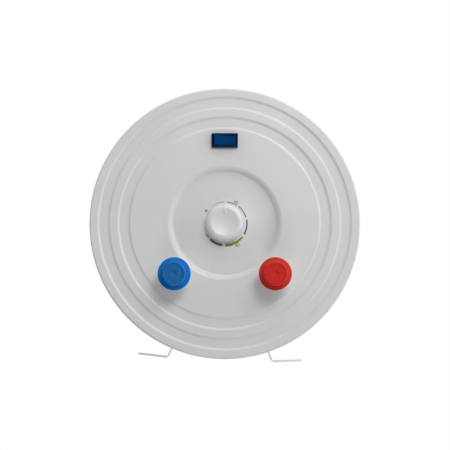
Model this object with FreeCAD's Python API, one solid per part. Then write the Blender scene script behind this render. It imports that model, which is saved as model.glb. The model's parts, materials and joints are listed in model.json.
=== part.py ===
import FreeCAD, Part
import math
import os

V = FreeCAD.Vector

# Wall-hung storage water heater, pipes down. Millimetres, +Z up, the wall is the plane y = 0.
# Built round the tank axis first, with the face of the bottom cover at height 0.
WALL = 146.0            # tank axis to wall
BRACKET_Z = 350.0       # middle of the bracket above the face
FACE_TURN = -2.4        # the face is hung slightly turned against its bracket

# Casing
COVER_R, COVER_T, COVER_EDGE = 137.5, 2.2, 1.6
DRAFT, DRAFT_H = 0.95, 11.5             # the front of the skirt draws in
SKIRT = 26.0
LENGTH = 482.0
CASE_R, CASE_T = 135.2, 0.6
CASE_LAP = 12.0
SCREW_ANGLES, SCREW_R, SCREW_TIP, SCREW_Z = (30, 150, 270), 1.6, 128.0, LENGTH - SKIRT / 2 - 4
RINGS = (96.4, 107.1, 116.8, 127.4)     # middle of each ring step
STEP_W, STEP_H, STEP_FILLET = 2.0, 1.15, 1.4
RECESS_R, RECESS_D = 52.2, 5.0
RECESS_TOP, RECESS_FILLET = 55.4, 4.8   # the wall of the recess leans outwards

# Tank and flange
TANK_R, TANK_T = 113.0, 1.8
TANK_Z0, TANK_Z1, END_H = 71.0, 456.0, 36.0
DOME_R, DOME_RISE, KNUCKLE = 70.0, 10.0, 22.0
FLANGE_Z, FLANGE_T, FLANGE_R, FLANGE_BORE = 58.0, 3.0, 57.0, 38.0
GASKET_T, RING_T = 2.0, 8.0
STUD_CIRCLE, STUD_R, STUDS = 47.5, 4.0, 6

# Pipes: G1/2 ends at a pitch of 100 mm
PIPE_X, PIPE_Y = 50.0, 52.5
PIPE_R, PIPE_BORE, PIPE_END = 10.4775, 8.2, -43.0
THREAD_PITCH, THREAD_DEPTH, THREADS = 1.814, 0.9, 8
CAP_FLANGE_R, CAP_FLANGE_Z, CAP_FLANGE_T = 16.4, -28.0, 1.2
CAP_FOOT_R, CAP_CONE = 12.0, 0.7         # the flange falls away from the foot of the cap
CAP_R, CAP_END, CAP_FIT = 11.2, -46.0, 0.05
CAP_BEAD, CAP_SINK = 1.5, 0.5            # raised edge round the end of the cap
GATE_R, GATE_D = 3.2, 1.0               # dimple left by the moulding gate

# Knob and thermostat
KNOB_R, KNOB_BASE, KNOB_WALL, HUB_R = 19.4, 4.2, 1.8, 5.2
DISH_R, DISH_Z, BOWL = 6.4, -9.5, 64.0  # hollow of the dish
CREST_R, CREST_Z = 14.6, -11.1          # highest ring of the knob
SHOULDER_R, SHOULDER_Z = 18.0, -9.55
MARK_ANGLE, MARK_R = 87.0, (9.8, 12.6)  # pointer on the dish
MARK_Z, MARK_W = -10.85, 1.3
SPINDLE_R, SPINDLE_FIT, SPINDLE_END = 3.0, 0.05, -7.3
BODY_X, BODY_Y, BODY_Z0, BODY_Z1 = 22.0, 18.0, 21.0, 40.0
BRIDGE_Z, BRIDGE_T, BRIDGE_X = 18.0, 1.5, 30.0
BUTTON_X, BUTTON_Y, BUTTON_R = 14.0, 10.0, 2.4

# Rocker switch, long side across the face
SWITCH_Y = -83.3
BEZEL_X, BEZEL_Y, BEZEL_H = 13.3, 7.25, 4.5
HOUSING_X, HOUSING_Y, HOUSING_Z = 12.75, 6.9, 15.0
WELL_X, WELL_Y = 12.2, 5.2
ROCKER_X, ROCKER_Y, ROCKER_Z, ROCKER_TILT = 11.3, 4.95, -3.6, 9.5
PIVOT_Z, PIN_R, PIN_REACH = -1.0, 1.4, 1.0

# Wall bracket, one bent sheet
SHEET, BEND_R = 1.2, 2.5
EAR_LIFT = 4.8          # degrees the ears stay open from the wall
BRACKET_H, BRACKET_BEND_X, BRACKET_TIP_X = 50.0, 65.7, 100.8
SLOT_X, SLOT_R, SLOT_L = 83.5, 4.5, 16.0
BOLT_ANGLE, BOLT_DZ, BOSS_R, BOLT_R = 12.0, 15.0, 9.0, 4.0


def cyl(r, z0, z1, x=0.0, y=0.0):
    return Part.makeCylinder(r, z1 - z0, V(x, y, z0))


def tube(r, bore, z0, z1, x=0.0, y=0.0):
    return cyl(r, z0, z1, x, y).cut(cyl(bore, z0 - 1, z1 + 1, x, y))


def box(x0, x1, y0, y1, z0, z1):
    return Part.makeBox(x1 - x0, y1 - y0, z1 - z0, V(x0, y0, z0))


def block(x, y, z0, z1, at=(0.0, 0.0), corner=0.0):
    """Upright block of half sizes x and y, its four upright edges rounded."""
    body = box(at[0] - x, at[0] + x, at[1] - y, at[1] + y, z0, z1)
    upright = [e for e in body.Edges if abs(e.tangentAt(e.FirstParameter).z) > 0.9]
    return body.makeFillet(corner, upright) if corner else body


def hexagon(flats, z0, z1, x=0.0, y=0.0):
    r = flats / math.sqrt(3)
    turns = [math.radians(60 * i) for i in range(7)]
    ring = Part.makePolygon([V(x + r * math.cos(a), y + r * math.sin(a), z0) for a in turns])
    return Part.Face(ring).extrude(V(0, 0, z1 - z0))


def rounded(corners, closed):
    """Wire through the corners (point, radius), every corner rounded to its own radius."""
    last, ends, edges = len(corners) - 1, [], []
    for i, (p, r) in enumerate(corners):
        if r == 0 or (not closed and i in (0, last)):
            ends.append((p, p, None))
            continue
        a = (corners[i - 1][0] - p).normalize()
        b = (corners[(i + 1) % len(corners)][0] - p).normalize()
        half = a.getAngle(b) / 2
        centre = p + (a + b).normalize() * (r / math.sin(half))
        reach = r / math.tan(half)
        ends.append((p + a * reach, p + b * reach, centre + (p - centre).normalize() * r))
    for i, (enter, leave, middle) in enumerate(ends):
        if middle:
            edges.append(Part.Arc(enter, middle, leave).toShape())
        after = ends[(i + 1) % len(ends)][0]
        if (closed or i < last) and (after - leave).Length > 1e-6:
            edges.append(Part.LineSegment(leave, after).toShape())
    return Part.Wire(edges)


def lathe(corners, x=0.0, y=0.0):
    """Solid of revolution about an upright axis from a closed outline of (r, z, radius)."""
    wire = rounded([(V(x + r, y, z), fillet) for r, z, fillet in corners], True)
    return Part.Face(wire).revolve(V(x, y, 0), V(0, 0, 1), 360)


def pressing(side, t):
    """Turned sheet of thickness t: one side given as (r, z, radius), the metal on its left."""
    points = [V(r, 0, z) for r, z, _ in side]
    normals = []
    for a, b in zip(points, points[1:]):
        along = (b - a).normalize()
        normals.append(V(-along.z, 0, along.x))
    far = []
    for i, (p, (_, _, fillet)) in enumerate(zip(points, side)):
        n0, n1 = normals[max(i - 1, 0)], normals[min(i, len(normals) - 1)]
        q = p + (n0 + n1) * (t / (1 + n0.dot(n1)))
        left = n0.x * n1.z - n0.z * n1.x > 0
        radius = (max(fillet - t, 0) if left else fillet + t) if fillet else 0
        far.append((q.x, q.z, radius))
    return lathe(list(side) + far[::-1])


def bent_rod(corners, r):
    """Round rod of radius r along the corners (x, y, z, bend radius)."""
    path = rounded([(V(x, y, z), bend) for x, y, z, bend in corners], False)
    start = path.OrderedVertexes[0].Point
    along = V(*corners[1][:3]) - V(*corners[0][:3])
    ring = Part.Wire([Part.makeCircle(r, start, along)])
    return path.makePipeShell([ring], True, False)


def obround(x, z, length, r, y0, y1):
    """Cutter for a slot of this length and end radius, running along X and cutting along Y."""
    reach = length / 2 - r
    a, b, c, d = [V(x + i * reach, y0, z + k * r) for i, k in ((-1, -1), (1, -1), (1, 1), (-1, 1))]
    edges = [Part.LineSegment(a, b), Part.Arc(b, V(x + reach + r, y0, z), c),
             Part.LineSegment(c, d), Part.Arc(d, V(x - reach - r, y0, z), a)]
    return Part.Face(Part.Wire([e.toShape() for e in edges])).extrude(V(0, y1 - y0, 0))


def radial(shape, angle, z):
    """Lay a shape built upright on the Z axis along the radius at this angle and height."""
    placed = shape.copy()
    placed.rotate(V(0, 0, 0), V(0, 1, 0), 90)
    placed.rotate(V(0, 0, 0), V(0, 0, 1), angle)
    placed.translate(V(0, 0, z))
    return placed


def group(shapes):
    return Part.makeCompound(list(shapes))


def save(name, shape, turn=FACE_TURN):
    placed = shape.copy()
    placed.rotate(V(0, 0, 0), V(0, 0, 1), turn)
    placed.translate(V(0, -WALL, -BRACKET_Z))
    placed.exportStep("parts/%s.step" % name)


def around(count, radius, start=0.0):
    turns = [math.radians(start + 360.0 * i / count) for i in range(count)]
    return [(radius * math.cos(a), radius * math.sin(a)) for a in turns]


PIPES = ((-PIPE_X, PIPE_Y), (PIPE_X, PIPE_Y))
STUD_POINTS = around(STUDS, STUD_CIRCLE)
COVER_SCREWS = ((-12.0, 0.0), (12.0, 0.0))
ELEMENT_LEGS = ((-20.0, 14.0), (20.0, 14.0))
ANODE = (0.0, -22.0)
EARTH = (0.0, 30.0)
BOLT_PLACES = [(90 + s * BOLT_ANGLE, BRACKET_Z + t * BOLT_DZ) for s in (-1, 1) for t in (-1, 1)]
BUSHING_ANGLE, BUSHING_Z, BUSHING_R = 128.0, 44.0, 8.0


def ring_steps():
    """Ridges and grooves of the face, from the plateau out to the rim."""
    steps, low = [], 0.0
    for middle in RINGS:
        high = STEP_H - low
        steps += [(middle - STEP_W / 2, low, STEP_FILLET), (middle + STEP_W / 2, high, STEP_FILLET)]
        low = high
    return steps


def skirt():
    return [(COVER_R - DRAFT, 0, COVER_EDGE), (COVER_R, DRAFT_H, 8.0), (COVER_R, SKIRT, 0)]


def lower_cover():
    recess = [(4.5, RECESS_D, 0), (RECESS_R, RECESS_D, 0.8), (RECESS_TOP, 0, RECESS_FILLET)]
    cover = pressing(recess + ring_steps() + skirt(), COVER_T)
    floor = RECESS_D + COVER_T
    for x, y in COVER_SCREWS:
        cover = cover.fuse(cyl(4.0, floor - 0.2, BRIDGE_Z, x, y)).cut(cyl(1.6, 0, 30, x, y))
    for x, y in PIPES:
        cover = cover.fuse(tube(15.0, 12.0, COVER_T - 0.2, COVER_T + 3, x, y))
        cover = cover.cut(cyl(12.0, -5, 10, x, y))
    opening = block(HOUSING_X, HOUSING_Y, -5, 10, (0, SWITCH_Y))
    return cover.cut(opening).removeSplitter()


def upper_cover():
    side = [(r, LENGTH - z, fillet) for r, z, fillet in [(0, 0, 0)] + ring_steps() + skirt()]
    cover = pressing(side[::-1], COVER_T)
    return cover.cut(screw_holes())


def screw_holes(turn=0.0):
    """Holes of the three screws through the skirt of the upper cover."""
    hole = cyl(SCREW_R, SCREW_TIP, COVER_R + 1)
    return group(radial(hole, angle + turn, SCREW_Z) for angle in SCREW_ANGLES)


def upper_cover_screws():
    pan = cyl(SCREW_R, SCREW_TIP, COVER_R).fuse(cyl(3.2, COVER_R, COVER_R + 2.0))
    pan = pan.makeFillet(0.9, [e for e in pan.Edges if e.BoundBox.ZMin > COVER_R + 1.9])
    for x, y in ((0.4, 2.0), (2.0, 0.4)):
        pan = pan.cut(box(-x, x, -y, y, COVER_R + 1.0, COVER_R + 3))
    return group(radial(pan, angle, SCREW_Z) for angle in SCREW_ANGLES)


def case_shell():
    z0, z1 = SKIRT - CASE_LAP, LENGTH - SKIRT + CASE_LAP
    case = tube(CASE_R, CASE_R - CASE_T, z0, z1)
    lap = tube(CASE_R + CASE_T, CASE_R, SKIRT + 0.5, LENGTH - SKIRT - 0.5)
    lap = lap.common(radial(block(400, 6, 0, 200), 52, 0))
    case = case.fuse(lap)
    for angle, z in BOLT_PLACES:
        case = case.cut(radial(cyl(BOSS_R, 120, 150), angle, z))
    case = case.cut(radial(cyl(BUSHING_R, 120, 150), BUSHING_ANGLE, BUSHING_Z))
    return case.cut(screw_holes(FACE_TURN))


def tank_envelope():
    low, high = TANK_Z0 + DOME_RISE, TANK_Z1 - DOME_RISE
    return lathe([(0, TANK_Z0, 0), (DOME_R, TANK_Z0, 0), (TANK_R, low, KNUCKLE),
                  (TANK_R, high, KNUCKLE), (DOME_R, TANK_Z1, 0), (0, TANK_Z1, 0)])


def foam_jacket():
    foam = cyl(CASE_R - CASE_T, TANK_Z0 - 6, LENGTH - COVER_T - STEP_H)
    foam = foam.cut(tank_envelope()).cut(cyl(FLANGE_R + 3, 0, TANK_Z0 + 5))
    foam = foam.cut(tube(200, COVER_R - COVER_T - 4, LENGTH - COVER_T - 4, LENGTH))
    for x, y in PIPES:
        foam = foam.cut(cyl(PIPE_R + 4, 0, TANK_Z0 + 8, x, y))
    turned = group(radial(cyl(BOSS_R, 100, 150), a - FACE_TURN, z) for a, z in BOLT_PLACES)
    return foam.cut(turned).cut(screw_holes())


def tank_lower_end():
    side = [(FLANGE_BORE, TANK_Z0, 0), (DOME_R, TANK_Z0, 0), (TANK_R, TANK_Z0 + DOME_RISE, KNUCKLE),
            (TANK_R, TANK_Z0 + END_H, 0)]
    dish = pressing(side, TANK_T)
    return dish.cut(group(cyl(PIPE_R, 0, 120, x, y) for x, y in PIPES))


def tank_upper_end():
    return pressing([(TANK_R, TANK_Z1 - END_H, 0), (TANK_R, TANK_Z1 - DOME_RISE, KNUCKLE),
                     (DOME_R, TANK_Z1, 0), (0, TANK_Z1, 0)], TANK_T)


def flange_stack(z0, z1, bore, extra=()):
    """Flat ring of the flange joint with the six stud holes."""
    ring = tube(FLANGE_R, bore, z0, z1) if bore else cyl(FLANGE_R, z0, z1)
    holes = [cyl(STUD_R, z0 - 1, z1 + 1, x, y) for x, y in STUD_POINTS]
    holes += [cyl(r, z0 - 1, z1 + 1, x, y) for x, y, r in extra]
    return ring.cut(group(holes))


def plate_holes():
    legs = [(x, y, 4.2) for x, y in ELEMENT_LEGS]
    return legs + [(0, 0, 4.5), (ANODE[0], ANODE[1], 4.0), (EARTH[0], EARTH[1], 2.5)]


def stud_seat(x):
    """Lower face of what each nut clamps: the two studs on the bridge carry its foot as well."""
    return FLANGE_Z - (BRIDGE_T if abs(x) > STUD_CIRCLE - 1 else 0)


def flange_hardware():
    ring_top = FLANGE_Z + FLANGE_T + GASKET_T + RING_T
    studs, washers, nuts = [], [], []
    for x, y in STUD_POINTS:
        seat = stud_seat(x)
        studs.append(cyl(STUD_R, seat - 11, ring_top, x, y))
        washers.append(tube(8.0, STUD_R, seat - 1.6, seat, x, y))
        nut = hexagon(13.0, seat - 8.1, seat - 1.6, x, y).cut(cyl(STUD_R, 0, 80, x, y))
        nuts.append(nut.common(corner_cone(x, y, seat - 8.1, seat - 1.6)))
    return studs, washers, nuts


def corner_cone(x, y, z0, z1):
    """Double cone that chamfers the corners of an M8 nut or head."""
    return lathe([(0, z0, 0), (6.4, z0, 0), (7.6, z0 + 0.7, 0), (7.6, z1 - 0.7, 0), (6.4, z1, 0),
                  (0, z1, 0)], x, y)


def heating_element():
    (x0, y0), (x1, _) = ELEMENT_LEGS
    foot, top, bend = 51.0, 262.0, 19.9
    return bent_rod([(x0, y0, foot, 0), (x0, y0, top, bend), (x1, y0, top, bend), (x1, y0, foot, 0)], 4.2)


def element_fittings():
    insulators = [tube(4.2, 1.5, 46, 51, x, y) for x, y in ELEMENT_LEGS]
    tabs = [cyl(1.5, 44, 51, x, y).fuse(box(x - 3.15, x + 3.15, y - 0.4, y + 0.4, 43, 45))
            for x, y in ELEMENT_LEGS]
    return insulators, tabs


def thermostat_pocket():
    return lathe([(3.5, FLANGE_Z, 0), (4.5, FLANGE_Z, 0), (4.5, 280, 2.0), (0, 280, 0), (0, 278, 0),
                  (3.5, 278, 1.0)])


def anode():
    z = FLANGE_Z + FLANGE_T
    rod = cyl(10.0, z, 240, *ANODE)
    rod = rod.makeFillet(2.0, [e for e in rod.Edges if e.BoundBox.ZMin > 239])
    rod = rod.fuse(cyl(4.0, 47, z, *ANODE))
    nut = hexagon(13.0, FLANGE_Z - 6.5, FLANGE_Z, *ANODE).cut(cyl(4.0, 0, 80, *ANODE))
    return rod, nut


def earth_parts():
    stud = cyl(2.5, 44, FLANGE_Z + FLANGE_T, *EARTH)
    nut = hexagon(8.0, 50, 54, *EARTH).cut(cyl(2.5, 0, 80, *EARTH))
    tag = tube(5.0, 2.5, 54, 54.8, *EARTH).fuse(box(-2.5, 2.5, EARTH[1] + 4, EARTH[1] + 12, 54, 54.8))
    return stud, nut, tag


def control_bridge():
    wide, half = 12.0, BRIDGE_X
    z0, z1 = BRIDGE_Z, BRIDGE_Z + BRIDGE_T
    plate = box(-half, half, -wide, wide, z0, z1).fuse(box(-20, 20, -wide, 82, z0, z1))
    plate = plate.fuse(box(-BODY_X, BODY_X, -BODY_Y, BODY_Y, z0, z1))
    for s in (-1, 1):
        leg = sorted((s * half, s * (half - BRIDGE_T)))
        foot = sorted((s * (half - BRIDGE_T), s * 57))
        plate = plate.fuse(box(leg[0], leg[1], -wide, wide, z0, FLANGE_Z))
        plate = plate.fuse(box(foot[0], foot[1], -wide, wide, FLANGE_Z - BRIDGE_T, FLANGE_Z))
        plate = plate.cut(cyl(STUD_R, 50, 60, s * STUD_CIRCLE, 0))
    plate = plate.cut(cyl(5.0, 10, 25)).cut(cyl(BUTTON_R + 0.6, 10, 25, BUTTON_X, BUTTON_Y))
    for x, y in COVER_SCREWS:
        plate = plate.cut(cyl(1.6, 10, 25, x, y))
    bends = [e for e in plate.Edges if abs(abs(e.CenterOfMass.x) - half) < 0.01
             and abs(e.CenterOfMass.z - z0) < 0.01 and e.Length > 20]
    return plate.removeSplitter().makeFillet(2.0, bends) if bends else plate


def thermostat_body():
    body = block(BODY_X, BODY_Y, BODY_Z0, BODY_Z1, corner=3.0)
    body = body.fuse(block(BODY_X - 3, BODY_Y - 3, BRIDGE_Z + BRIDGE_T, BODY_Z0 + 3, corner=3.0))
    body = body.fuse(cyl(5.0, 15.5, BODY_Z0 + 1)).fuse(cyl(6.0, BODY_Z1 - 1, 46))
    body = body.cut(cyl(SPINDLE_R + SPINDLE_FIT, 10, 30)).cut(cyl(3.0, 35, 50))
    for x, y in COVER_SCREWS:
        body = body.cut(cyl(1.6, 10, 27, x, y))
    return body.cut(cyl(BUTTON_R + 0.06, 10, 28, BUTTON_X, BUTTON_Y))


def reset_button():
    stem = cyl(BUTTON_R, 16.6, 25.0, BUTTON_X, BUTTON_Y)
    return stem.makeFillet(0.5, [e for e in stem.Edges if e.BoundBox.ZMax < 17])


def thermostat_terminals():
    return [box(x - 3.15, x + 3.15, -BODY_Y - 8, -BODY_Y, z - 0.4, z + 0.4)
            for x in (-13, 13) for z in (27, 35)]


def cover_screws():
    screws = []
    for x, y in COVER_SCREWS:
        head = cyl(3.2, RECESS_D - 1.8, RECESS_D, x, y)
        head = head.makeFillet(0.7, [e for e in head.Edges if e.BoundBox.ZMax < RECESS_D - 1.7])
        slot = box(x - 4, x + 4, y - 0.4, y + 0.4, RECESS_D - 3, RECESS_D - 1.0)
        screws.append(head.cut(slot).fuse(cyl(1.6, RECESS_D, 26, x, y)))
    return screws


def thermostat_knob():
    """Hollow knob: a wide dish inside a rounded crest, and sides that flare to the base."""
    outside = lathe([(0, DISH_Z, 0), (DISH_R, DISH_Z, BOWL), (CREST_R, CREST_Z, 5.0),
                     (SHOULDER_R, SHOULDER_Z, 3.6), (KNOB_R, KNOB_BASE, 0.4), (0, KNOB_BASE, 0)])
    roof = DISH_Z + KNOB_WALL + 0.7
    hollow = lathe([(0, roof, 0), (SHOULDER_R - KNOB_WALL, roof, 3.0), (KNOB_R - KNOB_WALL, KNOB_BASE + 1, 0),
                    (0, KNOB_BASE + 1, 0)])
    knob = outside.cut(hollow).fuse(cyl(HUB_R, roof - 1, KNOB_BASE)).fuse(knob_mark())
    return knob.cut(cyl(SPINDLE_R, SPINDLE_END, 20)).removeSplitter()


def knob_mark():
    """Raised pointer level with the crest, standing out of the slope of the dish."""
    near, far = MARK_R
    mark = box(near, far, -MARK_W, MARK_W, MARK_Z, DISH_Z)
    for x in MARK_R:
        mark = mark.fuse(cyl(MARK_W, MARK_Z, DISH_Z, x))
    mark = mark.removeSplitter()
    mark = mark.makeFillet(0.5, [e for e in mark.Edges if e.BoundBox.ZMax < MARK_Z + 0.01])
    mark.rotate(V(0, 0, 0), V(0, 0, 1), -MARK_ANGLE)
    return mark


def thread(x, y):
    """Pipe end of the outside thread, cut as rings of the right pitch and depth."""
    outline = [(PIPE_BORE, PIPE_END, 0), (PIPE_R - THREAD_DEPTH, PIPE_END, 0)]
    z = PIPE_END
    for _ in range(THREADS):
        outline += [(PIPE_R - 0.1, z + 0.8, 0), (PIPE_R - 0.1, z + 1.0, 0)]
        z += THREAD_PITCH
        outline.append((PIPE_R - THREAD_DEPTH, z, 0))
    return lathe(outline + [(PIPE_R, z + 0.9, 0), (PIPE_R, z + 4, 0), (PIPE_BORE, z + 4, 0)], x, y), z + 4


def pipe(x, y, top):
    end, z = thread(x, y)
    return end.fuse(tube(PIPE_R, PIPE_BORE, z, top, x, y)).removeSplitter()


def inlet_diffuser(x, y):
    """Cup on the end of the cold pipe that lets the water out sideways."""
    z, seat, top = 96.0, 108.0, 122.0
    cup = cyl(PIPE_R + 1.5, z, top, x, y).cut(cyl(PIPE_R, z - 1, seat, x, y))
    cup = cup.cut(cyl(PIPE_BORE, seat - 1, top - 1.5, x, y))
    for dx, dy in ((30, 2), (2, 30)):
        cup = cup.cut(box(x - dx, x + dx, y - dy, y + dy, seat + 3, seat + 10))
    return cup


def collar(x, y):
    """Weld between a pipe and the tank."""
    return lathe([(PIPE_R, TANK_Z0 - 2.5, 0), (PIPE_R + 2.8, TANK_Z0, 0), (PIPE_R, TANK_Z0, 0)], x, y)


def pipe_seal(x, y):
    """Rubber ring that closes the gap between a pipe and its hole in the cover."""
    return lathe([(PIPE_R, -1.0, 0), (13.2, -1.0, 0.6), (13.2, 0, 0), (12.0, 0, 0),
                  (12.0, COVER_T + 3, 0), (PIPE_R, COVER_T + 3, 0)], x, y)


def transport_cap(x, y):
    """Push-on cap: open at its flange, closed over the end of the pipe."""
    bore, floor = PIPE_R + CAP_FIT, PIPE_END - 0.3
    rim = CAP_FLANGE_Z - CAP_FLANGE_T
    sunk, bead = CAP_END + CAP_SINK, CAP_R - CAP_BEAD
    cap = lathe([(bore, CAP_FLANGE_Z, 0), (CAP_FLANGE_R, CAP_FLANGE_Z, 0.4), (CAP_FLANGE_R, rim, 0.5),
                 (CAP_FOOT_R, rim - CAP_CONE, 1.2), (CAP_R, CAP_END, 1.1), (bead, CAP_END, 0.2),
                 (bead - 0.4, sunk, 0.4), (0, sunk, 0), (0, floor, 0), (bore, floor, 0)], x, y)
    gate = (GATE_R ** 2 + GATE_D ** 2) / (2 * GATE_D)
    return cap.cut(Part.makeSphere(gate, V(x, y, sunk + GATE_D - gate)))


def switch_housing():
    at = (0, SWITCH_Y)
    body = block(BEZEL_X, BEZEL_Y, -BEZEL_H, 0, at, 1.0)
    body = body.makeFillet(0.7, [e for e in body.Edges if e.BoundBox.ZMax < -BEZEL_H + 0.1])
    body = body.fuse(block(HOUSING_X, HOUSING_Y, -0.5, HOUSING_Z, at))
    for s in (-1, 1):
        catch = s * HOUSING_X
        body = body.fuse(box(catch - 0.6, catch + 0.6, SWITCH_Y - 3, SWITCH_Y + 3, 2.6, 5.0))
    body = body.cut(block(WELL_X, WELL_Y, -10, HOUSING_Z - 1.5, at, 0.6))
    return body.cut(switch_pin(PIN_R + 0.06, WELL_Y + PIN_REACH + 0.2)).removeSplitter()


def switch_pin(r, half):
    return Part.makeCylinder(r, 2 * half, V(0, SWITCH_Y - half, PIVOT_Z), V(0, 1, 0))


def switch_rocker():
    """Rocker with a shallow V top, turned about its pin so that the left end stands up."""
    rise = ROCKER_X * math.tan(math.radians(ROCKER_TILT))
    tip = ROCKER_Z - rise
    outline = [(-ROCKER_X, tip, 1.0), (0, ROCKER_Z, 30.0), (ROCKER_X, tip, 1.0), (ROCKER_X, 0.5, 0.6),
               (6, 6.5, 1.5), (-6, 6.5, 1.5), (-ROCKER_X, 0.5, 0.6)]
    wire = rounded([(V(x, SWITCH_Y - ROCKER_Y, z), r) for x, z, r in outline], True)
    rocker = Part.Face(wire).extrude(V(0, 2 * ROCKER_Y, 0))
    top = [e for e in rocker.Edges if e.BoundBox.YLength < 0.01 and e.BoundBox.ZMax < ROCKER_Z + 0.6]
    rocker = rocker.makeFillet(0.6, top).fuse(switch_pin(PIN_R, WELL_Y + PIN_REACH))
    rocker.rotate(V(0, SWITCH_Y, PIVOT_Z), V(0, 1, 0), -ROCKER_TILT)
    return rocker


def switch_fittings():
    floor = HOUSING_Z - 1.5
    lamp = Part.makeCylinder(1.6, 9, V(-4.5, SWITCH_Y, floor - 1.9), V(1, 0, 0))
    tabs = [box(x - 0.4, x + 0.4, SWITCH_Y - 3.15, SWITCH_Y + 3.15, HOUSING_Z, HOUSING_Z + 8)
            for x in (-8, 0, 8)]
    return lamp, tabs


def terminal_block():
    body = block(17, 9, BRIDGE_Z + BRIDGE_T, 36, (0, 70), 1.5)
    for x in (-11, 0, 11):
        body = body.cut(cyl(2.6, 30, 40, x, 70))
        body = body.cut(Part.makeCylinder(1.9, 30, V(x, 55, 27), V(0, 1, 0)))
    return body


def terminal_screws():
    screws = []
    for x in (-11, 0, 11):
        slot = box(x - 3, x + 3, 69.6, 70.4, 33, 40)
        screws.append(cyl(2.6, 30, 34, x, 70).cut(slot))
    return screws


def wires():
    """Insulated wires between terminal block, switch, thermostat, element and earth stud."""
    r, bend, z = 1.4, 6.0, 27.0
    far = SWITCH_Y + 0.1
    sides = [bent_rod([(11 * s, 66, z, 0), (11 * s, 48, z, bend), (40 * s, 34, z, bend),
                       (40 * s, -44, z, bend), (8 * s, -62, 32, bend), (8 * s, far, 32, bend),
                       (8 * s, far, 24, 0)], r) for s in (-1, 1)]
    link = bent_rod([(0, far, 24, 0), (0, far, 33, bend), (0, -48, 33, bend), (-13, -40, z, bend),
                     (-13, -27, z, 0)], r)
    load = [bent_rod([(13 * s, -27, 35, 0), (13 * s, -34, 35, 5.0), (13 * s, -34, 49, 5.0),
                      (13 * s, -6, 49, 5.0), (20 * s, 8, 44, 4.0), (20 * s, 12.2, 44, 0)], r)
            for s in (-1, 1)]
    earth = bent_rod([(0, 66, z, 0), (0, 50, z, bend), (0, 50, 54.4, 5.0), (0, 42.6, 54.4, 0)], r)
    return [sides[0], link], [sides[1]], load, [earth]


def cord_bushing():
    """Strain relief for the supply cord, empty."""
    body = cyl(BUSHING_R, 118, CASE_R + 1).fuse(cyl(BUSHING_R + 3, CASE_R + 0.3, CASE_R + 1.8))
    body = body.fuse(hexagon(20.0, 127, CASE_R - CASE_T - 0.4))
    return radial(body.cut(cyl(4.2, 100, 150)), BUSHING_ANGLE, BUSHING_Z)


def wall_bracket():
    z0, z1 = BRACKET_Z - BRACKET_H / 2, BRACKET_Z + BRACKET_H / 2
    lean = math.atan2(BRACKET_BEND_X, WALL)
    rim = [V(s * 300 * math.sin(lean), 300 * math.cos(lean), z0) for s in (-1, 1)]
    sector = Part.Face(Part.makePolygon([V(0, 0, z0)] + rim + [V(0, 0, z0)])).extrude(V(0, 0, BRACKET_H))
    bracket = tube(CASE_R + SHEET, CASE_R, z0, z1).common(sector)
    for s in (-1, 1):
        leg = box(*sorted((0, -s * SHEET)), CASE_R, WALL / math.cos(lean), z0, z1)
        leg.rotate(V(0, 0, 0), V(0, 0, 1), -s * math.degrees(lean))
        turn_x = s * (BRACKET_BEND_X - SHEET / math.cos(lean))
        ear = box(*sorted((turn_x, s * BRACKET_TIP_X)), WALL - SHEET, WALL, z0, z1)
        beyond = box(*sorted((turn_x, s * 200)), WALL, WALL + 50, z0 - 1, z1 + 1)
        for piece in (ear, beyond):
            piece.rotate(V(turn_x, WALL, 0), V(0, 0, 1), -s * EAR_LIFT)
        bracket = bracket.fuse(leg).fuse(ear).cut(beyond)
    bracket = bracket.common(box(-200, 200, 0, WALL, z0, z1)).removeSplitter()
    return bracket_holes(round_bends(bracket, lean))


def round_bends(bracket, lean):
    """Round the inside and then the outside of the four bends of the sheet."""
    out, across = V(math.sin(lean), math.cos(lean), 0), V(-math.cos(lean), math.sin(lean), 0)
    face = WALL - SHEET
    inside = (V(face * math.tan(lean), face, 0), out * (CASE_R + SHEET) + across * SHEET)
    outside = (V(BRACKET_BEND_X - SHEET / math.cos(lean), WALL, 0), out * CASE_R)
    for corners, radius in ((inside, BEND_R), (outside, BEND_R + SHEET)):
        bracket = bracket.makeFillet(radius, [e for e in bracket.Edges if e.Length > BRACKET_H - 0.1 and any(
            math.hypot(abs(e.CenterOfMass.x) - p.x, e.CenterOfMass.y - p.y) < 0.3 for p in corners)])
    return bracket


def bracket_holes(bracket):
    for s in (-1, 1):
        bracket = bracket.cut(obround(s * SLOT_X, BRACKET_Z, SLOT_L, SLOT_R, WALL - 6, WALL + 6))
    return bracket.cut(group(radial(cyl(BOLT_R, 130, 140), a, h) for a, h in BOLT_PLACES))


def bracket_fixings():
    boss = cyl(BOSS_R, TANK_R - 2, CASE_R).cut(cyl(BOLT_R, TANK_R + 4, 150))
    ring = tube(CASE_R, TANK_R, 200, 400)
    bosses = [radial(boss, a, z).common(ring) for a, z in BOLT_PLACES]
    seat = CASE_R + SHEET
    washer = tube(8.0, BOLT_R, seat, seat + 1.6)
    bolt = cyl(BOLT_R, TANK_R + 6, seat + 2).fuse(hexagon(13.0, seat + 1.6, seat + 6.9))
    bolt = bolt.common(cyl(BOLT_R, 100, seat + 1.6).fuse(corner_cone(0, 0, seat + 1.6, seat + 6.9)))
    places = [(radial(washer, a, z), radial(bolt, a, z)) for a, z in BOLT_PLACES]
    return bosses, [w for w, _ in places], [b for _, b in places]


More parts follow.
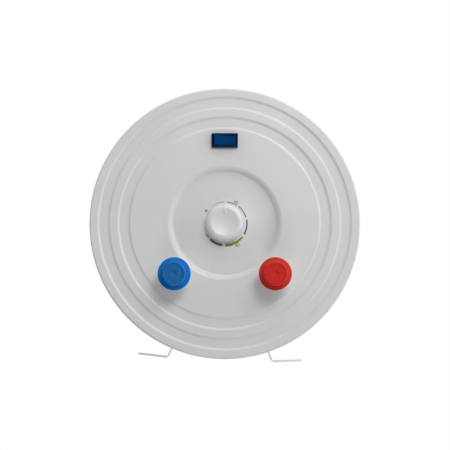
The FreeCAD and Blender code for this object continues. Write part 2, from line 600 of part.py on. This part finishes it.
def build():
    os.makedirs("parts", exist_ok=True)
    plate_z, ring_z = FLANGE_Z + FLANGE_T, FLANGE_Z + FLANGE_T + GASKET_T
    save("lower_cover", lower_cover())
    save("upper_cover", upper_cover())
    save("upper_cover_screws", upper_cover_screws())
    save("case_shell", case_shell(), 0)
    save("foam_jacket", foam_jacket())
    save("cord_bushing", cord_bushing(), 0)
    save("tank_barrel", tube(TANK_R, TANK_R - TANK_T, TANK_Z0 + END_H, TANK_Z1 - END_H))
    save("tank_lower_end", tank_lower_end())
    save("tank_upper_end", tank_upper_end())
    save("flange_ring", flange_stack(ring_z, ring_z + RING_T, FLANGE_BORE))
    save("flange_gasket", flange_stack(plate_z, ring_z, FLANGE_BORE))
    save("element_flange", flange_stack(FLANGE_Z, plate_z, 0, plate_holes()))
    for name, shapes in zip(("flange_studs", "flange_washers", "flange_nuts"), flange_hardware()):
        save(name, group(shapes))
    save("heating_element", heating_element())
    for name, shapes in zip(("element_insulators", "element_terminals"), element_fittings()):
        save(name, group(shapes))
    save("thermostat_pocket", thermostat_pocket())
    for name, shape in zip(("anode_rod", "anode_nut"), anode()):
        save(name, shape)
    for name, shape in zip(("earth_stud", "earth_nut", "earth_tag"), earth_parts()):
        save(name, shape)
    save("control_bridge", control_bridge())
    save("thermostat_body", thermostat_body())
    save("thermostat_probe", cyl(3.0, BODY_Z1, 270))
    save("thermostat_terminals", group(thermostat_terminals()))
    save("thermostat_spindle", cyl(SPINDLE_R, SPINDLE_END, 29))
    save("thermostat_knob", thermostat_knob())
    save("reset_button", reset_button())
    save("cover_screws", group(cover_screws()))
    save("cold_pipe", pipe(*PIPES[0], 104))
    save("inlet_diffuser", inlet_diffuser(*PIPES[0]))
    save("hot_pipe", pipe(*PIPES[1], TANK_Z1 - 20))
    save("pipe_collars", group(collar(x, y) for x, y in PIPES))
    save("pipe_seals", group(pipe_seal(x, y) for x, y in PIPES))
    save("cold_cap", transport_cap(*PIPES[0]))
    save("hot_cap", transport_cap(*PIPES[1]))
    save("switch_housing", switch_housing())
    save("switch_rocker", switch_rocker())
    lamp, tabs = switch_fittings()
    save("switch_lamp", lamp)
    save("switch_terminals", group(tabs))
    save("terminal_block", terminal_block())
    save("terminal_screws", group(terminal_screws()))
    for name, shapes in zip(("live_wires", "neutral_wire", "load_wires", "earth_wire"), wires()):
        save(name, group(shapes))
    save("wall_bracket", wall_bracket(), 0)
    for name, shapes in zip(("bracket_bosses", "bracket_washers", "bracket_bolts"), bracket_fixings()):
        save(name, group(shapes), 0)


build()
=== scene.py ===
import json
import math

import bmesh
import bpy
from mathutils import Matrix, Vector

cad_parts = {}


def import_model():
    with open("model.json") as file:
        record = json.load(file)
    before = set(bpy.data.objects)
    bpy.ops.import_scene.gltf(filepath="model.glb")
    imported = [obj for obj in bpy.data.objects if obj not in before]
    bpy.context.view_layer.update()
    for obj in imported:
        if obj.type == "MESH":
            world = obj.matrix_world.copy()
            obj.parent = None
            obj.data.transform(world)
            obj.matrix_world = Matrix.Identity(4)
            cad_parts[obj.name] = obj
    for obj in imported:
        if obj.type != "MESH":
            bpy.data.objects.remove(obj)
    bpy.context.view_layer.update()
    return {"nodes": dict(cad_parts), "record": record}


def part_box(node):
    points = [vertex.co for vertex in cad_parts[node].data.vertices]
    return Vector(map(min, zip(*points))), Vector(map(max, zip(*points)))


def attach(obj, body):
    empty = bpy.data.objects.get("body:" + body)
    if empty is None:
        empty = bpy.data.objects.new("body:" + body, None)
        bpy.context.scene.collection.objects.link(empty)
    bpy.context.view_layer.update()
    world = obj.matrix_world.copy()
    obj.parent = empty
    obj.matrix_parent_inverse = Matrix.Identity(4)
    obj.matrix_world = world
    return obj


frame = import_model()
MM = 0.001


# ---------------------------------------------------------------- places read from the frame
def centre(node):
    low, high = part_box(node)
    return (Vector(low) + Vector(high)) / 2


def lowest(node):
    return Vector(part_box(node)[0]).z


def highest(node):
    return Vector(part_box(node)[1]).z


AXIS = centre("lower_cover")
FACE_Z = lowest("lower_cover")
cold, hot = centre("cold_cap"), centre("hot_cap")
TURN = Matrix.Rotation(math.atan2(hot.y - cold.y, hot.x - cold.x), 4, "Z")  # the face hangs slightly turned
FACE = Matrix.Translation((AXIS.x, AXIS.y, FACE_Z)) @ TURN


def on_face(x, y, z):
    """Point of the row frame from millimetres on the face: right, towards the wall, into the body."""
    return FACE @ Vector((x * MM, y * MM, z * MM))


def polar(radius, degrees):
    """Place on the dial as someone in front of it sees it: 0 is right, 90 is away from the wall."""
    return radius * math.cos(math.radians(degrees)), radius * math.sin(math.radians(degrees))


# ---------------------------------------------------------------- materials
# Scales are features per metre, depths are in metres.
BRUSHED = (1.0, 1.0, 0.04)                # stretch of the fine lines in metal
DULL = {"Specular_IOR_Level": 0.12}       # surfaces with hardly any shine
MATT = {"Specular_IOR_Level": 0.07}
DEAD = {"Specular_IOR_Level": 0.03}
CAP_END = lowest("cold_cap") + 0.5 * MM   # height of the flat ends of the transport caps, which have a colour of their own
END_TINT_FULL, END_TINT_GONE = 0.6 * MM, 2.0 * MM   # above that: where the end colour is whole, and where it has faded into the side colour
FINE_GRAIN, FINE_DEPTH = 3000.0, 0.00001  # texture of printing ink


def shade(colour, k):
    return tuple(min(1.0, c * k) for c in colour)


def set_stops(ramp, stops):
    """Give a colour ramp its stops of (position, colour)."""
    elements = ramp.color_ramp.elements
    while len(elements) < len(stops):
        elements.new(0.5)
    for element, (at, colour) in zip(elements, stops):
        element.position = at
        element.color = (*colour, 1.0)


class Nodes:
    """Small helper that builds one Principled material."""

    def __init__(self, name, **values):
        self.mat = bpy.data.materials.new(name)
        self.mat.use_nodes = True
        self.tree = self.mat.node_tree
        self.tree.nodes.clear()
        self.shader = self.add("ShaderNodeBsdfPrincipled")
        output = self.add("ShaderNodeOutputMaterial")
        self.link(self.shader, "BSDF", output, "Surface")
        for key, value in values.items():
            self.shader.inputs[key.replace("_", " ")].default_value = value
        self.coords = self.add("ShaderNodeTexCoord")

    def add(self, kind, **inputs):
        """New node, with the inputs that are named here; an underscore stands for a space."""
        node = self.tree.nodes.new(kind)
        for key, value in inputs.items():
            node.inputs[key.replace("_", " ")].default_value = value
        return node

    def link(self, a, out, b, inp):
        self.tree.links.new(a.outputs[out], b.inputs[inp])

    def noise(self, scale, detail=3.0, roughness=0.5, stretch=None):
        tex = self.add("ShaderNodeTexNoise", Scale=scale, Detail=detail, Roughness=roughness)
        if stretch:
            mapping = self.add("ShaderNodeMapping", Scale=stretch)
            self.link(self.coords, "Object", mapping, "Vector")
            self.link(mapping, "Vector", tex, "Vector")
        else:
            self.link(self.coords, "Object", tex, "Vector")
        return tex

    def ramp(self, source, stops):
        ramp = self.add("ShaderNodeValToRGB")
        set_stops(ramp, stops)
        self.link(source, "Fac", ramp, "Fac")
        return ramp

    def colour_from(self, source, stops):
        self.link(self.ramp(source, stops), "Color", self.shader, "Base Color")

    def rough_from(self, source, low, high):
        """Roughness that follows a noise texture, whose values lie mostly between 0.3 and 0.7."""
        span = self.add("ShaderNodeMapRange", From_Min=0.3, From_Max=0.7, To_Min=low, To_Max=high)
        self.link(source, "Fac", span, "Value")
        self.link(span, "Result", self.shader, "Roughness")

    def bumps(self, layers):
        """Stacked bump nodes from (texture, output, strength, distance in metres)."""
        before = None
        for tex, out, strength, distance in layers:
            bump = self.add("ShaderNodeBump", Strength=strength, Distance=distance)
            self.link(tex, out, bump, "Height")
            if before:
                self.link(before, "Normal", bump, "Normal")
            before = bump
        self.link(before, "Normal", self.shader, "Normal")

    def capped(self, colour, end_colour):
        """Base colour that changes to a second colour below a height, where the flat ends of the caps are."""
        side = self.ramp(self.noise(90.0, 5.0, 0.6),
                         [(0.3, shade(colour, 0.93)), (0.7, shade(colour, 1.07))])
        # colour of the flat cap ends, a little uneven at random
        end_tint = self.ramp(self.noise(420.0, 6.0, 0.7),
                           [(0.32, shade(end_colour, 0.75)), (0.55, end_colour), (0.72, shade(end_colour, 1.3))])
        parts = self.add("ShaderNodeSeparateXYZ")
        self.link(self.coords, "Object", parts, "Vector")
        mask = self.add("ShaderNodeMapRange", From_Min=CAP_END + END_TINT_FULL, From_Max=CAP_END + END_TINT_GONE,
                        To_Min=1.0, To_Max=0.0)
        self.link(parts, "Z", mask, "Value")
        mix = self.add("ShaderNodeMix")
        mix.data_type = "RGBA"
        factor, first, second, result = 0, 6, 7, 2      # colour sockets share their names with others
        self.link(mask, "Result", mix, factor)
        self.link(side, "Color", mix, first)
        self.link(end_tint, "Color", mix, second)
        self.link(mix, result, self.shader, "Base Color")


def moulded(name, colour, rough=0.4, grain=2500.0, depth=0.00002, spread=0.03, **values):
    """Moulded plastic: faint flow tint, fine tool texture and slightly uneven gloss."""
    m = Nodes(name, **values)
    flow = m.noise(14.0, 4.0, 0.55)
    fine = m.noise(grain, 2.0, 0.6)
    m.colour_from(flow, [(0.3, shade(colour, 1 - spread)), (0.7, shade(colour, 1 + spread))])
    m.rough_from(m.noise(45.0, 5.0, 0.6), rough - 0.05, rough + 0.06)
    m.bumps([(flow, "Fac", 0.15, 0.0002), (fine, "Fac", 0.35, depth)])
    return m.mat


def push_cap(name, colour, end_colour):
    """Soft coloured polythene of the transport caps, with a colour of its own on the flat end."""
    m = Nodes(name, **DULL)
    m.capped(colour, end_colour)
    m.rough_from(m.noise(60.0, 5.0, 0.6), 0.42, 0.55)
    waves, fine = m.noise(160.0, 4.0, 0.6), m.noise(1800.0, 2.0, 0.6)
    m.bumps([(waves, "Fac", 0.2, 0.0001), (fine, "Fac", 0.3, 0.00002)])
    return m.mat


def coated(name, colour, rough=0.33):
    """Powder coat on steel sheet: orange peel over a faintly uneven sheet."""
    m = Nodes(name, Coat_Weight=0.25, Coat_Roughness=0.18)
    sheet = m.noise(6.0, 3.0, 0.5)
    peel = m.noise(700.0, 2.0, 0.45)
    specks = m.noise(2600.0, 1.0, 0.5)
    m.colour_from(sheet, [(0.35, shade(colour, 0.975)), (0.65, shade(colour, 1.01))])
    m.rough_from(peel, rough - 0.06, rough + 0.07)
    m.bumps([(sheet, "Fac", 0.1, 0.0004), (peel, "Fac", 0.3, 0.00005), (specks, "Fac", 0.1, 0.00001)])
    return m.mat


def metal(name, colour, rough=0.35):
    """Plated or brushed metal with mottled crystals and fine lines."""
    m = Nodes(name, Metallic=1.0)
    cells = m.add("ShaderNodeTexVoronoi", Scale=260.0)
    m.link(m.coords, "Object", cells, "Vector")
    stain = m.noise(60.0, 6.0, 0.65)
    lines = m.noise(900.0, 3.0, 0.6, BRUSHED)
    m.colour_from(stain, [(0.3, shade(colour, 0.82)), (0.55, colour), (0.75, shade(colour, 1.08))])
    m.rough_from(stain, rough - 0.1, rough + 0.12)
    m.bumps([(cells, "Distance", 0.12, 0.00004), (lines, "Fac", 0.25, 0.00002)])
    return m.mat


def ink(name, colour):
    """Printing ink: a little uneven, with hardly any shine."""
    return moulded(name, colour, 0.5, FINE_GRAIN, FINE_DEPTH, 0.12, **DULL)


MATS = {
    "cover_plastic": moulded("cover_plastic", (0.80, 0.80, 0.795), 0.34),
    "case_paint": coated("case_paint", (0.80, 0.80, 0.79)),
    "bracket_paint": coated("bracket_paint", (0.84, 0.84, 0.83), 0.4),
    "foam": moulded("foam", (0.72, 0.62, 0.38), 0.9, 1200.0, 0.0003, 0.1),
    "tank_enamel": coated("tank_enamel", (0.02, 0.05, 0.12)),
    "zinc_steel": metal("zinc_steel", (0.62, 0.64, 0.66)),
    "stainless": metal("stainless", (0.58, 0.57, 0.55), 0.3),
    "magnesium": metal("magnesium", (0.6, 0.6, 0.58), 0.55),
    "seal_rubber": moulded("seal_rubber", (0.035, 0.035, 0.035), 0.75, 900.0, 0.00006, 0.2),
    "black_plastic": moulded("black_plastic", (0.03, 0.03, 0.032), 0.45),
    "white_plastic": moulded("white_plastic", (0.78, 0.78, 0.76), 0.4),
    "ceramic": moulded("ceramic", (0.82, 0.8, 0.74), 0.2, 600.0),
    "brass_plate": metal("brass_plate", (0.72, 0.58, 0.28)),
    "knob_plastic": moulded("knob_plastic", (0.83, 0.83, 0.825), 0.32),
    # transport caps: side colour, then the colour of the flat end, a little brighter on the red cap and greyer and
    # darker on the blue
    "red_plastic": push_cap("red_plastic", (0.66, 0.038, 0.026), (0.70, 0.026, 0.02)),
    "blue_plastic": push_cap("blue_plastic", (0.0002, 0.185, 0.61), (0.014, 0.15, 0.44)),
    "switch_frame": moulded("switch_frame", (0.002, 0.024, 0.085), 0.45, **MATT),
    "switch_blue": moulded("switch_blue", (0.0003, 0.044, 0.18), 0.4, 3000.0, 0.000004, **DEAD),
    "lamp_glass": moulded("lamp_glass", (0.8, 0.85, 0.9), 0.05, 500.0, 0.000002),
    "live_sheath": moulded("live_sheath", (0.18, 0.06, 0.02), 0.4),
    "neutral_sheath": moulded("neutral_sheath", (0.01, 0.06, 0.4), 0.4),
    "earth_sheath": moulded("earth_sheath", (0.2, 0.4, 0.02), 0.4),
    "print_grey": ink("print_grey", (0.145, 0.147, 0.153)),
    "print_green": ink("print_green", (0.20, 0.32, 0.015)),
}
SLOT_OF = {s["node"]: s["material_slot"] for s in frame["record"]["subparts"]}
for name, node in frame["nodes"].items():
    node.data.materials.clear()
    node.data.materials.append(MATS[SLOT_OF[name]])


# ---------------------------------------------------------------- printed scale round the knob
KNOB_GAP = 0.8 * MM                       # between the knob and the bottom of the recess
DIAL_Z = highest("thermostat_knob") + KNOB_GAP
DIAL_OFF = 0.5 * MM                       # the print sits this far off the axis, to the right and towards the wall
DIAL = (Matrix.Translation((AXIS.x, AXIS.y, DIAL_Z)) @ TURN
        @ Matrix.Rotation(math.pi, 4, "X") @ Matrix.Translation((DIAL_OFF, -DIAL_OFF, 0)))

# The rest of this section is in millimetres and degrees on the dial.
INK = 0.07                                # height of the ink above the plastic
INK_SHOULDER = INK * 0.6                  # height where the rounded edge of the ink begins
INK_ROOT = -0.02                          # how deep the ink reaches into the plastic
EDGE_SHARE, EDGE_MAX = 0.35, 0.1          # the rounded edge is this share of the half width, counted up to EDGE_MAX
THINNEST = 0.03                           # half width at the very tip of a stroke
ARC_STEPS, LINE_STEPS = 48, 16            # pieces along a stroke
SCALE_R = 22.0
# start and end angle, width at the start and at the end, material
STROKES = ((126, 92, 0.25, 0.6, "print_grey"), (86, 57, 0.75, 0.95, "print_grey"),
           (53, 17, 0.8, 1.05, "print_grey"), (11, -30, 1.3, 1.7, "print_grey"),
           (-37, -90, 1.8, 3.2, "print_green"), (-98, -134, 2.5, 2.4, "print_grey"),
           (-140, -152, 1.2, 0.8, "print_grey"))
FROST_R, FROST_ANGLE, FROST_TURN = 23.2, 146, 57
ARM, ARM_START, ARM_WIDTH = 1.5, 0.2, 0.4             # arms of the frost mark, from its middle
FORK, FORK_START, FORK_WIDTH = 0.6, 0.95, 0.34        # two short branches on each arm
# name, text, height, radius, angle, material
NUMERALS = (("scale_number_high", "60", 4.2, 24.4, 64, "print_grey"),
            ("scale_number_green", "45", 5.4, 25.4, -60, "print_green"))
NUMERAL_SWELL = 0.02                      # how much the outline of a number is fattened


def ride(piece, body="heater"):
    bpy.context.scene.collection.objects.link(piece)
    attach(piece, body)


def ribbon(bm, path):
    """Closed strip of ink through stations of (x, y, half width, direction across), in mm."""
    rings = []
    for x, y, half, (ax, ay) in path:
        inner, outer = (x - ax * half, y - ay * half), (x + ax * half, y + ay * half)
        edge = EDGE_SHARE * min(half, EDGE_MAX)
        crown = ((inner[0] + ax * edge, inner[1] + ay * edge), (outer[0] - ax * edge, outer[1] - ay * edge))
        ring = [(*inner, INK_ROOT), (*inner, INK_SHOULDER), (*crown[0], INK),
                (*crown[1], INK), (*outer, INK_SHOULDER), (*outer, INK_ROOT)]
        rings.append([bm.verts.new(DIAL @ (Vector(v) * MM)) for v in ring])
    for a, b in zip(rings, rings[1:]):
        for i in range(len(a)):
            j = (i + 1) % len(a)
            bm.faces.new((a[i], a[j], b[j], b[i]))
    bm.faces.new(rings[0][::-1])
    bm.faces.new(rings[-1])


def stations(steps):
    """Shares of the way along a stroke, close together at both ends."""
    return [(1 - math.cos(math.pi * i / steps)) / 2 for i in range(steps + 1)]


def rounded_width(t, half, length):
    """Half width of a stroke with round ends, at this share of its length."""
    from_end = min(t, 1 - t) * length
    if from_end >= half:
        return half
    return max(THINNEST, math.sqrt(half ** 2 - (half - from_end) ** 2))


def arc_stroke(bm, start, end, thick0, thick1):
    length = math.radians(abs(end - start)) * SCALE_R
    path = []
    for t in stations(ARC_STEPS):
        angle = start + (end - start) * t
        half = rounded_width(t, (thick0 + (thick1 - thick0) * t) / 2, length)
        path.append((*polar(SCALE_R, angle), half, polar(1.0, angle)))
    ribbon(bm, path)


def line_stroke(bm, a, b, thick):
    length = math.dist(a, b)
    along = ((b[0] - a[0]) / length, (b[1] - a[1]) / length)
    path = []
    for t in stations(LINE_STEPS):
        half = rounded_width(t, thick / 2, length)
        path.append((a[0] + (b[0] - a[0]) * t, a[1] + (b[1] - a[1]) * t, half, (-along[1], along[0])))
    ribbon(bm, path)


def ink_piece(name, bm, material):
    mesh = bpy.data.meshes.new(name)
    bmesh.ops.recalc_face_normals(bm, faces=bm.faces)
    bm.to_mesh(mesh)
    bm.free()
    mesh.materials.append(MATS[material])
    ride(bpy.data.objects.new(name, mesh))


def dial_scale():
    """Seven strokes round the knob; the wide green one marks the thrifty range."""
    for i, (start, end, thick0, thick1, material) in enumerate(STROKES):
        bm = bmesh.new()
        arc_stroke(bm, start, end, thick0, thick1)
        ink_piece("scale_stroke_%d" % i, bm, material)


def frost_mark():
    """Six-armed mark for frost protection at the low end of the scale."""
    bm = bmesh.new()
    cx, cy = polar(FROST_R, FROST_ANGLE)
    for k in range(6):
        turn = FROST_TURN + 60 * k
        dx, dy = polar(1.0, turn)
        line_stroke(bm, (cx + dx * ARM_START, cy + dy * ARM_START), (cx + dx * ARM, cy + dy * ARM), ARM_WIDTH)
        for side in (-45, 45):
            fx, fy = polar(FORK, turn + side)
            base = (cx + dx * FORK_START, cy + dy * FORK_START)
            line_stroke(bm, base, (base[0] + fx, base[1] + fy), FORK_WIDTH)
    ink_piece("scale_frost_mark", bm, "print_grey")


def numeral(name, text, height, radius, angle, material):
    """Number on the dial, lying along the scale."""
    curve = bpy.data.curves.new(name, "FONT")
    curve.body = text
    curve.size = height * MM
    curve.extrude = INK * MM / 2
    curve.offset = NUMERAL_SWELL * MM
    curve.align_x, curve.align_y = "CENTER", "CENTER"
    source = bpy.data.objects.new(name, curve)
    mesh = bpy.data.meshes.new_from_object(source)
    bpy.data.objects.remove(source)
    x, y = polar(radius, angle)
    turn = angle - 90 if angle > 0 else angle + 90     # heads away from the knob above it, towards it below
    place = Matrix.Translation((x * MM, y * MM, 0)) @ Matrix.Rotation(math.radians(turn), 4, "Z")
    mesh.transform(DIAL @ place)
    mesh.materials.clear()
    mesh.materials.append(MATS[material])
    ride(bpy.data.objects.new(name, mesh))


dial_scale()
frost_mark()
for number in NUMERALS:
    numeral(*number)


# ---------------------------------------------------------------- camera, light and floor
# Places on the face frame are in mm: right, towards the wall, into the body.
CAMERA_AT, CAMERA_AIM = (0, 103.0, -1500.0), (0.25, 2.29, 0)
VIEW_WIDTH = 450 * 1.00933                # width of the view at the face, at 1.00933 mm for each point of 450
SENSOR = 36.0                             # mm
# name, tilt from straight in front of the face, azimuth as on the dial, distance and size in mm, power in W
LAMPS = (("key", 24.7, 64, 1800, 500, 7.9), ("fill", 45, -95, 1750, 500, 2.8),
         ("side", 40, 50, 1500, 300, 1.6), ("top", 150, 60, 1600, 800, 4.5))
# lamp behind the face that lights the bracket only: place, aim, size, power, spread
BRACKET_LAMP = ((-50, 480, 150), (-25, 146, 325), 300, 0.5, 130)
# how high a direction points, from straight down (0) to straight up (1), and how bright the surround is there
WORLD_BAND = ((0.0, 0.05), (0.14, 0.05), (0.26, 1.0), (0.43, 1.0), (0.56, 0.36), (1.0, 0.5))
# mean strength of the surround, by which share it rises towards one side, and the azimuth of that side
AROUND, LEAN, LEAN_AZIMUTH = 1.0, 0.75, 40
FLOOR_HALF, FLOOR_DROP = 40.0, 4.0        # metres: half its side, and how far it lies below the face
FLOOR_GLOW = 0.3


def camera():
    """Camera in front of the face and a little towards the wall, aimed so that the photograph's frame fits."""
    scene = bpy.context.scene
    scene.view_settings.view_transform = "Standard"
    data = bpy.data.cameras.new("camera")
    eye, aim = on_face(*CAMERA_AT), on_face(*CAMERA_AIM)
    forward = (aim - eye).normalized()
    right = forward.cross((FACE.to_3x3() @ Vector((0, -1, 0)))).normalized()
    up = right.cross(forward)
    basis = Matrix((right, up, -forward)).transposed()
    viewer = bpy.data.objects.new("camera", data)
    viewer.matrix_world = Matrix.Translation(eye) @ basis.to_4x4()
    data.sensor_width = SENSOR
    data.lens = SENSOR * (aim - eye).length / (VIEW_WIDTH * MM)
    scene.collection.objects.link(viewer)
    scene.camera = viewer


def area_light(name, place, aim, size, power, spread=180):
    """Disc lamp at a place on the face frame in mm, aimed at another."""
    light = bpy.data.lights.new(name, "AREA")
    light.shape = "DISK"
    light.size = size * MM
    light.energy = power
    light.spread = math.radians(spread)
    lamp = bpy.data.objects.new(name, light)
    beam = on_face(*aim) - on_face(*place)
    facing = beam.to_track_quat("-Z", "Y").to_matrix().to_4x4()
    lamp.matrix_world = Matrix.Translation(on_face(*place)) @ facing
    lamp.visible_camera = False
    bpy.context.scene.collection.objects.link(lamp)


def lamps():
    """Lamps round the middle of the face, and one more for the bracket."""
    for name, tilt, azimuth, distance, size, power in LAMPS:
        x, y = polar(distance * math.sin(math.radians(tilt)), azimuth)
        area_light(name, (x, -y, -distance * math.cos(math.radians(tilt))), (0, 0, 0), size, power)
    area_light("bracket", *BRACKET_LAMP)


def world():
    """Plain studio surround. It is white to the eye. As a light it is dim straight below, brightest in a ring
    a little below the horizon and half as bright overhead, and it is stronger on the side of LEAN_AZIMUTH."""
    surround = bpy.data.worlds.new("studio")
    bpy.context.scene.world = surround
    surround.use_nodes = True
    tree = surround.node_tree
    new, link = tree.nodes.new, tree.links.new
    soft = tree.nodes["Background"]
    coords = new("ShaderNodeTexCoord")
    along = new("ShaderNodeSeparateXYZ")
    link(coords.outputs["Generated"], along.inputs[0])
    height = new("ShaderNodeMapRange")
    height.inputs["From Min"].default_value = -1.0
    link(along.outputs["Z"], height.inputs["Value"])
    band = new("ShaderNodeValToRGB")
    band.color_ramp.interpolation = "EASE"
    set_stops(band, [(at, (grey, grey, grey)) for at, grey in WORLD_BAND])
    link(height.outputs["Result"], band.inputs["Fac"])
    across = new("ShaderNodeVectorMath")
    across.operation = "DOT_PRODUCT"
    x, y = polar(1.0, LEAN_AZIMUTH)
    across.inputs[1].default_value = FACE.to_3x3() @ Vector((x, -y, 0))
    link(coords.outputs["Generated"], across.inputs[0])
    lean = new("ShaderNodeMath")
    lean.operation = "MULTIPLY_ADD"
    lean.inputs[1].default_value = LEAN * AROUND
    lean.inputs[2].default_value = AROUND
    link(across.outputs["Value"], lean.inputs[0])
    link(band.outputs["Color"], soft.inputs["Color"])
    link(lean.outputs["Value"], soft.inputs["Strength"])
    seen = new("ShaderNodeBackground")
    seen.inputs["Color"].default_value = (1, 1, 1, 1)
    path = new("ShaderNodeLightPath")
    mix = new("ShaderNodeMixShader")
    link(path.outputs["Is Camera Ray"], mix.inputs[0])
    link(soft.outputs[0], mix.inputs[1])
    link(seen.outputs[0], mix.inputs[2])
    link(mix.outputs[0], tree.nodes["World Output"].inputs["Surface"])


def floor():
    """Pale floor well below the heater. It glows faintly to look pale, casts no shadow and lights nothing."""
    mesh = bpy.data.meshes.new("floor")
    s, z = FLOOR_HALF, FACE_Z - FLOOR_DROP
    mesh.from_pydata([(-s, -s, z), (s, -s, z), (s, s, z), (-s, s, z)], [], [(0, 1, 2, 3)])
    ground = bpy.data.objects.new("floor", mesh)
    ground.visible_diffuse = ground.visible_glossy = ground.visible_shadow = False
    bpy.context.scene.collection.objects.link(ground)
    m = Nodes("floor", Roughness=0.8, Emission_Color=(1, 1, 1, 1), Emission_Strength=FLOOR_GLOW)
    m.colour_from(m.noise(3.0), [(0.3, (0.88, 0.88, 0.87)), (0.7, (0.91, 0.91, 0.90))])
    mesh.materials.append(m.mat)


camera()
lamps()
world()
floor()
